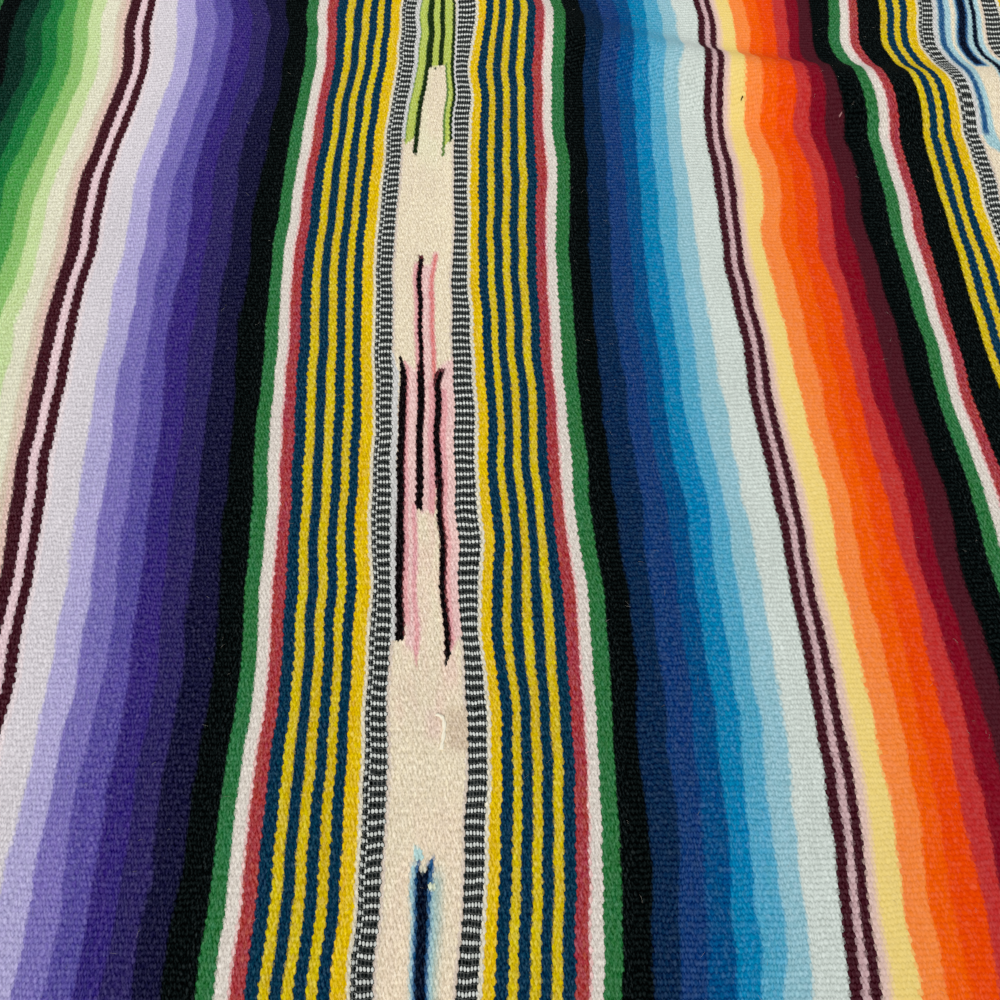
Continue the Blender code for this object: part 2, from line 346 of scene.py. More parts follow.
class Nodes:
    """Adds nodes to a material's or a node group's tree."""

    def __init__(self, tree):
        self.tree = tree

    def feed(self, socket, value):
        if isinstance(value, Signal):
            value = value.socket
        if isinstance(value, bpy.types.NodeSocket):
            self.tree.links.new(value, socket)
        elif value is not None:
            socket.default_value = value

    def node(self, kind, *values, **settings):
        """A node with its settings, and its input sockets fed in their order. None leaves a socket as it is."""
        made = self.tree.nodes.new(kind)
        for name, value in settings.items():
            setattr(made, name, value)
        for socket, value in zip(made.inputs, values):
            self.feed(socket, value)
        return made

    def math(self, operation, *values):
        return Signal(self, self.node("ShaderNodeMath", *values, operation=operation).outputs[0])

    def floor(self, value):
        return self.math("FLOOR", value)

    def mix(self, data_type, factor, first, second, **settings):
        """From first, where the factor is 0, to second, where it is 1. Each data type has sockets of its own."""
        place, result = {"FLOAT": (2, 0), "RGBA": (6, 2)}[data_type]
        made = self.node("ShaderNodeMix", factor, data_type=data_type, **settings)
        self.feed(made.inputs[place], first)
        self.feed(made.inputs[place + 1], second)
        return made.outputs[result]

    def blend(self, factor, first, second):
        return self.mix("RGBA", factor, first, second)

    def choose(self, factor, first, second):
        return Signal(self, self.mix("FLOAT", factor, first, second))

    def ramp(self, value, stops):
        """A ColorRamp; each stop is a place and a colour or a grey."""
        made = self.node("ShaderNodeValToRGB", value)
        elements = made.color_ramp.elements
        elements[0].position = stops[0][0]
        elements[1].position = stops[1][0]
        for place, colour in stops[2:]:
            elements.new(place)
        for element, (place, colour) in zip(elements, stops):
            element.color = colour if hasattr(colour, "__len__") else (colour, colour, colour, 1.0)
        return made.outputs[0]

    def band(self, value, low, high):
        """0 below low and 1 above high, with a soft step between them."""
        made = self.node("ShaderNodeMapRange", value, low, high, 0.0, 1.0, interpolation_type="SMOOTHSTEP")
        return Signal(self, made.outputs[0])

    def inside(self, value, low, high):
        return (value > low) * (value < high)

    def between(self, value, low, high, before, after=None):
        """1 from low to high, with a soft step before low and one after high."""
        return self.band(value, low - before, low) - self.band(value, high, high + (after or before))

    def noise(self, x, y, detail=1.0, roughness=0.5):
        """Soft noise, around 0.5. Each use gets a field of its own by starting elsewhere."""
        self.fields = getattr(self, "fields", 0) + 1
        where = self.node("ShaderNodeCombineXYZ", x + 37.0 * self.fields, y, 0.0).outputs[0]
        made = self.node("ShaderNodeTexNoise", where, noise_dimensions="2D")
        made.inputs["Scale"].default_value = 1.0
        made.inputs["Detail"].default_value = detail
        made.inputs["Roughness"].default_value = roughness
        return Signal(self, made.outputs[0])

    def chance(self, x, y):
        """A random number from 0 to 1 that is the same all over each whole place."""
        where = self.node("ShaderNodeCombineXYZ", x, y, 0.0).outputs[0]
        made = self.node("ShaderNodeTexWhiteNoise", where, noise_dimensions="2D")
        return Signal(self, made.outputs[0])

    def tuned(self, colour, hue, saturation, value):
        return self.node("ShaderNodeHueSaturation", hue, saturation, value, 1.0, colour).outputs[0]

    def lightened(self, colour, amount):
        """The colour with an amount of light added, or taken away, that the eye sees as the same on any colour."""
        seen = self.node("ShaderNodeGamma", colour, 1 / SEEN_GAMMA).outputs[0]
        lit = self.mix("RGBA", 1.0, seen, amount, blend_type="ADD", clamp_result=True)
        return self.node("ShaderNodeGamma", lit, SEEN_GAMMA).outputs[0]

    def split(self, vector):
        """A vector's first two parts."""
        made = self.node("ShaderNodeSeparateXYZ", vector)
        return Signal(self, made.outputs[0]), Signal(self, made.outputs[1])


class Paint(Nodes):
    """One material, its shader, and the nodes that feed it."""

    def __init__(self, name, roughness=0.95):
        self.material = bpy.data.materials.new(name)
        self.material.use_nodes = True
        super().__init__(self.material.node_tree)
        self.shader = self.tree.nodes["Principled BSDF"]
        self.shader.inputs["Roughness"].default_value = roughness
        self.shader.inputs["Specular IOR Level"].default_value = 0.02

    def coat(self, colour, relief=None, depth=0.0, strength=1.0):
        """Gives the shader its colour, and its relief as a bump of this depth in metres."""
        self.feed(self.shader.inputs["Base Color"], colour)
        if relief is not None:
            bump = self.node("ShaderNodeBump")
            bump.inputs["Strength"].default_value = strength
            bump.inputs["Distance"].default_value = depth
            self.feed(bump.inputs["Height"], relief)
            self.feed(self.shader.inputs["Normal"], bump.outputs[0])
        return self.material


def linear(colour, gain=1.0):
    """A colour seen in daylight, 0 to 255, as the reflectance that a shader takes."""
    parts = [part / 255 for part in colour]
    parts = [part / 12.92 if part <= 0.04045 else ((part + 0.055) / 1.055) ** 2.4 for part in parts]
    return (*[min(part * gain, 0.95) for part in parts], 1.0)


# --- The weave's material ---

# In a weft-faced weave each visible stitch lies over one warp, and its neighbours are half a stitch off.
WARP_MM = WARP_PITCH / MM
PICK_MM = 0.92
# How far the edges of the stripes wander in all, in millimetres, where the weft was beaten unevenly.
EDGE_WANDER = 5.0
STITCH_SLANT = 0.16
# How unevenly the warps are drawn and the picks are beaten, in warps and in stitches.
SLACK, CROWDING = 0.80, 0.70
# How much of a stripe's edge follows the stitches: by the narrow stripes in an ombre's middle, and elsewhere.
FOLLOW_NARROW, FOLLOW = 0.80, 0.62
RELIEF_DEPTH, RELIEF_STRENGTH = 0.0004, 0.55
# How round a stitch is, and the level of the painted rib highlight and shade at which it neither lightens nor
# darkens.
ROUNDNESS, PAINTED_SHADING_MIDDLE = 0.90, 0.84
YARN_GAIN = 1.08
EDGE_BLUR = 0.30
OMBRE_BLUR = 0.80
MAP_LENGTH = 2.10
MAP_WIDTH = 1.32

# One stretch of the cloth across its stripes: where it starts, where its stripes are counted from, its stripes,
# and whether it is the inlaid middle of a design band.
Region = namedtuple("Region", "name start origin stripes inlaid", defaults=(False,))
# A design band is parted from the ombres in their black, and its middle in the gold beside each ladder.
BLACK_OVERLAP = 6.0
FIELD_START = 61.9
FIELD_END = 132.8


def mirrored(stripes):
    return tuple(reversed(stripes))


def band_regions(start, left_name="left_stripes", left=DESIGN_BAND[:BEFORE_MIDDLE]):
    """The three regions of the design band that starts here."""
    low = start - BLACK_OVERLAP
    edge = (Stripe(BLACK_OVERLAP, BLACK),)
    field_low, field_high = start + FIELD_START, start + FIELD_END
    return [
        Region(left_name, low, low, edge + left),
        Region("inlays", field_low, start + FIELD_ORIGIN, FIELD_STRIPES, True),
        Region("right_stripes", field_high, field_high, right_part(edge + DESIGN_BAND + edge)),
    ]


# From the gold beside a design band's left ladder to the gold beside its right one.
FIELD_STRIPES = DESIGN_BAND[BEFORE_MIDDLE - 1 : AFTER_MIDDLE]
FIELD_ORIGIN = widths(DESIGN_BAND[: BEFORE_MIDDLE - 1])


def right_part(stripes):
    """The stripes from the end of a design band's middle on."""
    edge = -BLACK_OVERLAP
    kept = []
    for stripe in stripes:
        edge += stripe.width
        if edge > FIELD_END:
            kept.append(Stripe(min(stripe.width, edge - FIELD_END), stripe.colour))
    return tuple(kept)


def ombre_regions(name, start, stripes):
    """The two regions of an ombre, parted in the middle of its widest pale stripe."""
    inner = range(1, len(stripes) - 1)
    middle = max(inner, key=lambda index: stripes[index].width)
    parted = start + widths(stripes[:middle]) + stripes[middle].width / 2
    half = (Stripe(stripes[middle].width / 2, stripes[middle].colour),)
    return [
        Region(name + "_a", start + BLACK_OVERLAP, start, stripes[: middle + 1]),
        Region(name + "_b", parted, parted, half + stripes[middle + 1 :]),
    ]


# The ombres from left to right, with a design band between each two. The middle of the third band is the origin.
OMBRES = (
    ("blue_end", mirrored(BLUES[:8])),
    ("teal_to_warm", TEALS + mirrored(WARMS)),
    ("green_to_violet", GREENS + mirrored(VIOLETS)),
    ("blue_to_warm", BLUES + mirrored(WARMS)),
    ("rose_to_teal", ROSES + mirrored(TEALS)),
    ("green_end", GREENS),
)


def lay_out_regions():
    """The whole cloth from left to right, as design bands and the ombres between them."""
    regions = []
    place = -2.5 * BAND_WIDTH - sum(widths(stripes) for name, stripes in OMBRES[:3])
    for name, stripes in OMBRES:
        regions += ombre_regions(name, place, stripes)
        place += widths(stripes)
        if name == "blue_to_warm":
            regions += band_regions(place, "next_left_stripes", NEXT_BAND_START)
        elif name != "green_end":
            regions += band_regions(place)
        place += BAND_WIDTH
    return regions


REGIONS = lay_out_regions()


def edge_blur(colour, following):
    """How far two neighbouring stripes run into each other: an ombre's shades do so more than a band's colours."""
    crisp = {stripe.colour for stripe in DESIGN_BAND}
    if MAROON in (colour, following) or {colour, following} <= crisp:
        return EDGE_BLUR
    return OMBRE_BLUR


def stripe_ramp(paint, place, stripes):
    """The colour of the stripe at this place, in millimetres from the first stripe's edge."""
    total = widths(stripes)
    stops = [(0.0, linear(stripes[0].colour, YARN_GAIN))]
    edge = 0.0
    for stripe, following in zip(stripes, stripes[1:]):
        edge += stripe.width
        blur = edge_blur(stripe.colour, following.colour)
        stops.append(((edge - blur) / total, linear(stripe.colour, YARN_GAIN)))
        stops.append(((edge + blur) / total, linear(following.colour, YARN_GAIN)))
    return paint.ramp(place / total, stops)


# The inlaid motifs. One motif is about 265 mm long, and the next one starts 350 mm further on. Places across are
# in millimetres from the design band's left edge, and places along from the motif's middle. soft is how far the
# stroke's dye has run, lean is how far it moves across for each millimetre along, and cut_low and cut_high slant
# its two ends.
Stroke = namedtuple("Stroke", "colour left right low high soft lean cut_low cut_high", defaults=(0.3, 0, 0, 0))
MOTIF_PERIOD = 350.0
STROKE_GROUP = "inlaid_stroke"

INK = (12, 6, 8)
BROWN_INK = (92, 44, 48)
DEEP_PINK = (210, 122, 118)
PINK = (215, 153, 155)
PALE_PINK = (222, 184, 179)
LILAC_GREY = (196, 194, 191)
LIME = (174, 187, 88)
MOSS = (24, 42, 16)
FRESH_GREEN = (92, 122, 60)
CYAN = (176, 206, 203)
MID_BLUE = (40, 84, 126)
SKY = (156, 190, 196)
PALE_RUN = (202, 210, 184)
RUN_BLUE = (164, 184, 176)
DEEP_NAVY = (6, 16, 34)

PINK_MOTIF = table(
    Stroke,
    ((203, 183, 158), 107.4, 117.2, -172, -151, 4), ((219, 195, 177), 97, 105, -166, -152, 4),
    (LILAC_GREY, 78.5, 81.8, -116, 60, 0.3, 0, 0, 4), (PALE_PINK, 86, 94, -119, 54, 2.2, 0, -0.6, 1.2),
    (PINK, 85.6, 88.6, -108, 54, 1.6, 0, 0, 2), (PINK, 90.8, 93.4, -123, -40, 1.8, 0, -3),
    (PALE_PINK, 96.6, 103.2, -46, 124, 2.2, 0, 0.6), (PINK, 102.4, 106, 36, 104, 2.4, -0.03),
    (PINK, 102.4, 106, 98, 134, 2.4, 0.05), (DEEP_PINK, 103.2, 105.5, 36, 104, 1.7, -0.03),
    (DEEP_PINK, 103.2, 105.3, 98, 132, 1.7, 0.05), (PINK, 101.2, 105.6, -44, 40, 2, 0, -1),
    (PALE_PINK, 108.6, 117, -122, 50, 2.6, 0, 1, -0.6), (PINK, 108, 112.6, -124, 34, 2, 0, 1),
    (PINK, 92.6, 98.2, 20, 126, 2.4, -0.01, -1.5), (BROWN_INK, 104.6, 109.2, -29, 42, 1),
    (INK, 105, 108.8, -30, 44, 0.6, 0, 0, -0.8), (BROWN_INK, 106.4, 110.6, -127, -24, 1, -0.008, 2),
    (INK, 106.7, 109.5, -131, -24, 0.6, -0.008, 2), (CREAM, 104.9, 106, -54, -51, 0.7),
    (CREAM, 104.9, 106.6, -48, -44, 0.7), (BROWN_INK, 106.2, 110.4, 36, 48, 0.9, 0.34),
    (INK, 106.8, 109.8, 36, 46, 0.6, 0.34), (BROWN_INK, 93.4, 98.2, -40, 50, 0.9, 0.01, -0.6),
    (INK, 93.7, 98, -42, 50, 0.6, 0.01, -0.6), (BROWN_INK, 94.6, 97.9, 44, 132, 0.9, -0.008),
    (INK, 95.1, 97.6, 44, 129, 0.6, -0.008), (BROWN_INK, 81.8, 86.6, -115, 57, 1, 0.012, 0, 3),
    (INK, 81.8, 85.9, -117, 58, 0.6, 0.012, 0, 3),
)
LIME_MOTIF = table(
    Stroke,
    (LILAC_GREY, 78.2, 81.6, -118, 62), (FRESH_GREEN, 81.4, 89, -124, 132, 1, 0.008, 1),
    (LIME, 82.2, 87.8, -124, 132, 1.4, 0.008, 1), (MOSS, 88, 91.6, -131, 60, 1, 0.01, -1, 1),
    (MOSS, 89.6, 106.4, -48, 132, 1), (MOSS, 90, 94, -49.5, 0, 1, 0, -0.6), (MOSS, 101.6, 105, -49.5, 0, 1, 0, 0.5),
    (MOSS, 96.4, 98.8, -52, -50.4, 0.8), (LIME, 94.2, 100.4, -49, 132, 1.4),
    (FRESH_GREEN, 107.7, 109.8, -134, 40, 1, -0.012), (LIME, 109.2, 113, -124, 44, 0.8, -0.016, 1, 1),
    (MOSS, 112.2, 115.4, -122, 52, 1, -0.016, 2), (LIME, 105.6, 112.4, -49, 132, 1.4, 0, 1),
    (LILAC_GREY, 115.4, 117.2, -118, 62),
)
BLUE_MOTIF = table(
    Stroke,
    (LILAC_GREY, 78.5, 81.8, -118, 62), (RUN_BLUE, 97, 108.6, -40, 124, 6, -0.03),
    (SKY, 94.2, 105, -62, 66, 2.4, 0.02), (SKY, 94, 104.2, 62, 121, 2.4, -0.065), (SKY, 91.8, 94.6, 112, 128, 2),
    (MID_BLUE, 95.6, 103.6, -60, 68, 2, 0.02), (MID_BLUE, 95.2, 102.6, 64, 122.5, 2, -0.065),
    (MID_BLUE, 94, 95.6, 118, 129.5, 1.2), (DEEP_NAVY, 97, 102.2, -56, 70, 1.2, 0.02),
    (DEEP_NAVY, 96.3, 101.2, 66, 123.5, 1.2, -0.065), (DEEP_NAVY, 94.8, 97, 118, 128, 0.7, 0, 0, 2.3),
    (MID_BLUE, 98.6, 101.9, 112, 127.5, 1, 0.02, 0, -1), (DEEP_NAVY, 98.4, 99.9, 110, 126, 0.8, 0.02),
    (CYAN, 92.8, 96.9, 129, 136, 0.9, 0, 0, 0.6), (PALE_RUN, 100.2, 103, 115.6, 119.4, 0.6),
    (SKY, 81.6, 91.2, -128, 54, 2.4, 0, -1, 1), (MID_BLUE, 82.4, 86.8, -118, 56, 1.8, 0, 0, 2),
    (SKY, 105.4, 113.8, -128, 44, 2.4, 0, -1), (DEEP_NAVY, 106.6, 110.2, -132, 44, 1.2, 0, -3),
)

MOTIFS = {"pink_inlays": PINK_MOTIF, "lime_inlays": LIME_MOTIF, "blue_inlays": BLUE_MOTIF}
# Where the inlays' dye has run into the cream around them: its colour, and from where to where along the motif.
Bleed = namedtuple("Bleed", "colour low high")
BLEEDS = {
    "pink_inlays": Bleed(BLED_CREAM, -170, 40),
    "lime_inlays": Bleed((220, 216, 182), -150, 150),
    "blue_inlays": Bleed((226, 204, 180), -150, 170),
}

# How a region's yarn is dyed and beaten: how far its hue strays, how far its changes of yarn wander in
# millimetres, how far the ends of its stitches reach past their warp, how much its ribs show in relief and in the
# painted shade between them, and how strong its nap's texture and the painted highlights and shade on its ribs are.
Hand = namedtuple("Hand", "hue uneven reach rib nap")
BAND_HAND = Hand(hue=0.040, uneven=0.0, reach=0.24, rib=0.54, nap=1.20)
FIELD_HAND = Hand(hue=0.024, uneven=0.0, reach=0.24, rib=0.45, nap=1.32)
OMBRE_HAND = Hand(hue=0.020, uneven=7.0, reach=0.12, rib=0.80, nap=0.82)
VIOLET_HAND = OMBRE_HAND._replace(rib=0.64, nap=1.00)
WARM_HAND = OMBRE_HAND._replace(hue=0.006)
SEEN_GAMMA = 2.2


class Weave:
    """The places that the weave's pattern is worked out from, as signals of one material, in millimetres."""

    def __init__(self, paint, hand, steady):
        self.paint = paint
        across, along = paint.split(paint.node("ShaderNodeUVMap", uv_map="weave").outputs[0])
        self.across = across = (across - 0.5) * (MAP_LENGTH / MM)
        self.along = along = (along - 0.5) * (MAP_WIDTH / MM)
        # Where the region's stripes are counted from.
        start = Signal(paint, paint.node("ShaderNodeAttribute", attribute_name="region_origin").outputs["Fac"])
        self.across = across = across + (self.noise(0.016, 0.020, 1.0, 0.55) - 0.5) * EDGE_WANDER
        if hand.uneven:
            # In an ombre each change of yarn wanders by itself, but the narrow stripes in its middle don't.
            changes = (self.noise(0.050, 0.017, 2.0, 0.6) - 0.5) * hand.uneven
            if steady:
                changes = changes * (1.0 - paint.between(across - start, *steady, 14.0))
            self.across = across = across + changes
        # The warps aren't drawn quite tight, nor the picks quite even.
        warps = along / WARP_MM + (self.noise(0.13, 0.050) - 0.5) * SLACK
        # The ends of the stitches reach in between those over the next warp.
        interlaced = paint.math("COSINE", across * (pi / PICK_MM)) * paint.math("COSINE", warps * pi)
        self.straight_warps = warps
        warps = warps - interlaced * hand.reach
        self.warp = paint.floor(warps)
        parity = self.warp % 2.0
        self.over_warp = warps % 1.0 - 0.5
        slanted = self.over_warp * STITCH_SLANT + (self.noise(0.35, 0.16, 0.0) - 0.5) * CROWDING
        picks = (across / PICK_MM - parity) / 2.0 + slanted
        self.stitch = paint.floor(picks)
        self.over_stitch = picks % 1.0 - 0.5
        self.pick = self.stitch * 2.0 + parity
        # A stripe's edge mostly follows the stitches: round stitches of both yarns lie in each other's gaps.
        fuzz = self.noise(1.9, 0.9, 1.0, 0.7) - 0.5
        stitch_middle = (self.pick + 1.0) * PICK_MM
        follow = FOLLOW_NARROW if steady else FOLLOW
        self.in_region = stitch_middle * follow + across * (1.0 - follow) + fuzz * 0.9 - start
        self.seen_along = (self.warp + 0.5) * (WARP_MM * 0.6) + along * 0.4 + fuzz * 1.2

    def noise(self, across, along, *settings):
        """Soft noise, with this many changes to a millimetre across and along."""
        return self.paint.noise(self.across * across, self.along * along, *settings)


def stroke_group():
    """A node group that lays one inlaid stroke over a colour."""
    tree = bpy.data.node_groups.new(STROKE_GROUP, "ShaderNodeTree")
    for name in ("Across", "Along", "Left", "Right", "Low", "High", "Soft", "Lean", "Cut low", "Cut high"):
        tree.interface.new_socket(name=name, in_out="INPUT", socket_type="NodeSocketFloat")
    for name in ("Colour", "Under"):
        tree.interface.new_socket(name=name, in_out="INPUT", socket_type="NodeSocketColor")
    tree.interface.new_socket(name="Result", in_out="OUTPUT", socket_type="NodeSocketColor")
    nodes = Nodes(tree)
    entry = nodes.node("NodeGroupInput")
    leave = nodes.node("NodeGroupOutput")
    given = {socket.name: Signal(nodes, socket) for socket in entry.outputs if socket.name}
    along, soft = given["Along"], given["Soft"]
    across = given["Across"] - given["Lean"] * (along - (given["Low"] + given["High"]) / 2.0)
    inward = across - given["Left"]
    low = given["Low"] + given["Cut low"] * inward
    high = given["High"] - given["Cut high"] * inward
    cover = nodes.band(inward, soft * -0.5, soft * 0.5)
    cover = cover * nodes.band(given["Right"] - across, soft * -0.5, soft * 0.5)
    cover = cover * nodes.band(along - low, soft * -1.0, soft)
    cover = cover * nodes.band(high - along, soft * -1.0, soft)
    nodes.feed(leave.inputs[0], nodes.blend(cover, given["Under"], given["Colour"]))
    return tree


def lay_motif(paint, strokes, across, along, colour):
    """Lays all the strokes over a colour, one after another."""
    group = bpy.data.node_groups.get(STROKE_GROUP) or stroke_group()
    for yarn, *places in strokes:
        values = (across, along, *[float(place) for place in places], linear(yarn, YARN_GAIN), colour)
        colour = paint.node("ShaderNodeGroup", *values, node_tree=group).outputs[0]
    return colour


LEFT_LADDER = (67.8, 78.5)
LEFT_LADDER_OFFSET = 2.6
RIGHT_LADDER = (116.9, 127.7)
LADDER_WHITE = (196, 198, 192)
LADDER_BLACK = (12, 17, 17)
BEAD_LOW = 0.10
BEAD_HIGH = 0.60


def ladder_colour(paint, weave, in_band, colour):
    """Bars one warp wide, black and white by turns, where black and white picks were woven by turns.

    A white bar is a row of beads: the black picks between its stitches show at their edges, and the shade round each
    white stitch is painted there in black too."""
    first = paint.inside(in_band, LEFT_LADDER[0], LEFT_LADDER[0] + LEFT_LADDER_OFFSET)
    warps = weave.straight_warps
    bar = paint.choose(first, paint.floor(warps) % 2.0, 1.0 - paint.floor(warps) % 2.0)
    over_warp = warps % 1.0 - 0.5
    over_bead = ((weave.across + over_warp * 0.25) / PICK_MM - bar) / 2.0 % 1.0 - 0.5
    worn = weave.noise(0.9, 0.30, 1.0, 0.6)
    # The beads are shrunk so that the black round them also stands for painted shade at each white stitch's edges.
    bead = 1.0 - (over_warp * 2.10) ** 2.0 - (over_bead * 2.00) ** 2.0 + (worn - 0.5) * 0.7
    # The other yarn shows faintly in the gaps of each bar.
    white = paint.band(bead, BEAD_LOW, BEAD_HIGH)
    white = paint.choose(bar, (1.0 - white) * worn * 0.30, white)
    bars = paint.blend(white, linear(LADDER_BLACK, YARN_GAIN), linear(LADDER_WHITE, YARN_GAIN))
    return paint.blend(paint.inside(in_band, *LEFT_LADDER) + paint.inside(in_band, *RIGHT_LADDER), colour, bars)


def field_colour(paint, weave, strokes, bleed):
    """The middle of a design band: cream between two ladders, with an inlaid motif."""
    in_band = weave.in_region + FIELD_ORIGIN
    colour = stripe_ramp(paint, weave.in_region, FIELD_STRIPES)
    along = (weave.seen_along + MOTIF_PERIOD / 2) % MOTIF_PERIOD - MOTIF_PERIOD / 2
    # Dye from the inlays has bled a little into the cream around them.
    near = paint.between(in_band, 84.0, 112.0, 6.0) * paint.between(along, bleed.low + 20, bleed.high - 30, 25, 35)
    run = paint.band(weave.noise(0.06, 0.016, 2.0, 0.55), 0.40, 0.66) * near * 0.60
    colour = paint.blend(run, colour, linear(bleed.colour, YARN_GAIN))
    colour = lay_motif(paint, strokes, in_band, along, colour)
    return ladder_colour(paint, weave, in_band, colour)


def extent(stripes, colours):
    """Where the first stripe of these colours starts and the last one ends, in millimetres, if they are here."""
    here = [number for number, stripe in enumerate(stripes) if stripe.colour in colours]
    return (widths(stripes[: here[0]]), widths(stripes[: here[-1] + 1])) if here else None


# The colours of the warm stripes, whose yarn is the smoothest.
CALM_YARNS = {stripe.colour for stripe in WARMS[1:-1]}


def weave_material(name, stripes, strokes=None, hand=BAND_HAND):
    """The weave of one region: plain stripes, or a design band's middle with this motif."""
    paint = Paint(name)
    weave = Weave(paint, hand, extent(stripes, {MAROON}))
    if strokes is None:
        colour = stripe_ramp(paint, weave.in_region, stripes)
    else:
        colour = field_colour(paint, weave, strokes, BLEEDS[name])
    # Every pick has its own shade, and so has every stretch of one pick, as hand-dyed yarn has.
    pick_shade = paint.chance(weave.pick, 7.0)
    stretch = paint.noise(weave.pick * 1.7, weave.along * 0.045, 2.0, 0.65)
    stitch_shade = paint.chance(weave.stitch, weave.warp)
    patch = weave.noise(0.030, 0.016, 2.0, 0.55)
    strand = paint.noise(weave.across * 0.85 + weave.along * 0.14, weave.along * 0.42, 1.0, 0.6)
    fibre = paint.noise(weave.across * 2.0 + weave.along * 0.5, weave.along * 1.0, 1.0, 0.7)
    rough = 1.0
    if extent(stripes, CALM_YARNS):
        low, high = extent(stripes, CALM_YARNS)
        rough = 1.0 - paint.between(weave.in_region, low + 2.0, high - 2.0, 8.0) * 0.60
    value = 1.0 + ((pick_shade - 0.5) * 0.05 + (stretch - 0.5) * 0.20 + (patch - 0.5) * 0.14) * rough
    hue = 0.5 + (stretch - 0.5) * hand.hue + (patch - 0.5) * hand.hue * 0.6
    saturation = 1.0 - ((stitch_shade - 0.5) * 0.08 + (strand - 0.5) * 0.12) * rough
    colour = paint.tuned(colour, hue, saturation, value)
    # Stitches are grains along each warp's rib, with plied yarn and loose fibres on them.
    rib = paint.math("COSINE", weave.over_warp * (pi * ROUNDNESS))
    dome = paint.math("COSINE", weave.over_stitch * (pi * ROUNDNESS))
    grain = rib * hand.rib + dome * (1.0 - hand.rib)
    relief = grain + ((fibre - 0.5) * 0.40 + (strand - 0.5) * 0.5) * rough
    # Painted highlight and shade: rib crests are painted lighter and the gaps between them darker, on dark yarn too,
    # mixed with the nap's own strand and fibre texture.
    painted_rib_shading = Signal(paint, paint.ramp(grain, ((0.15, 0.0), (0.50, 0.55), (0.80, 0.90), (1.0, 1.0))))
    nap = (painted_rib_shading - PAINTED_SHADING_MIDDLE) * (0.07 + hand.rib * 0.12) + (strand - 0.5) * 0.25 + (fibre - 0.5) * 0.12
    colour = paint.lightened(colour, nap * hand.nap * rough)
    return paint.coat(colour, relief, RELIEF_DEPTH, RELIEF_STRENGTH)


HANDS = {
    "left_stripes": BAND_HAND,
    "next_left_stripes": BAND_HAND,
    "right_stripes": BAND_HAND,
    "blue_to_warm_b": WARM_HAND,
    "teal_to_warm_a": WARM_HAND,
    "green_to_violet_a": VIOLET_HAND,
    "green_to_violet_b": VIOLET_HAND,
}


def motif_kind(number, along):
    """Which motif a design band has at this place along it. Its neighbours have the next ones."""
    kinds = list(MOTIFS)
    return kinds[(floor(along / MOTIF_PERIOD + 0.5) + number) % len(kinds)]


# --- The web ---

# The web's cells are finer where the photo looks.
COARSE_CELL, FINE_CELL = 0.016, 0.005
FINE_X, FINE_Y = (-0.40, 0.46), (-0.32, 0.42)


def graded(breaks, fine_low, fine_high):
    """Grid lines through all the breaks, closer together between fine_low and fine_high."""
    breaks = sorted({*breaks, fine_low, fine_high})
    parts = []
    for start, stop in zip(breaks, breaks[1:]):
        step = FINE_CELL if fine_low <= (start + stop) / 2 <= fine_high else COARSE_CELL
        count = max(1, round((stop - start) / step))
        parts.append(np.linspace(start, stop, count, endpoint=False))
    return np.concatenate(parts + [[breaks[-1]]])


def mesh_object(name, points, faces, material=None, smooth=True):
    mesh = bpy.data.meshes.new(name)
    mesh.from_pydata(points, [], faces)
    if material:
        mesh.materials.append(material)
    if smooth:
        mesh.shade_smooth()
    obj = bpy.data.objects.new(name, mesh)
    bpy.context.scene.collection.objects.link(obj)
    return obj


def paint_regions(mesh, places):
    """Gives each face its region's material, and the place that the region's stripes are counted from.

    places are the flat places of the mesh's points, in metres."""
    names = []

    def slot_of(name, *rest):
        if name not in names:
            names.append(name)
            mesh.materials.append(weave_material(name, *rest))
        return names.index(name)

    starts = np.array([region.start for region in REGIONS])
    bands = [region for region in REGIONS if region.inlaid]
    slots, origins = [], []
    for face in mesh.polygons:
        across, along = places[list(face.vertices)].mean(axis=0) / MM
        region = REGIONS[max(0, int(np.searchsorted(starts, across)) - 1)]
        name = region.name
        if region.inlaid:
            name = motif_kind(bands.index(region) - len(bands) // 2, along)
        hand = FIELD_HAND if region.inlaid else HANDS.get(name, OMBRE_HAND)
        slots.append(slot_of(name, region.stripes, MOTIFS.get(name), hand))
        origins.append(region.origin)
    mesh.polygons.foreach_set("material_index", slots)
    stored = mesh.attributes.new("region_origin", "FLOAT", "FACE")
    stored.data.foreach_set("value", origins)


RIM_BULGE = 0.0006
RIM_LEVELS = (0.72, 0.28)


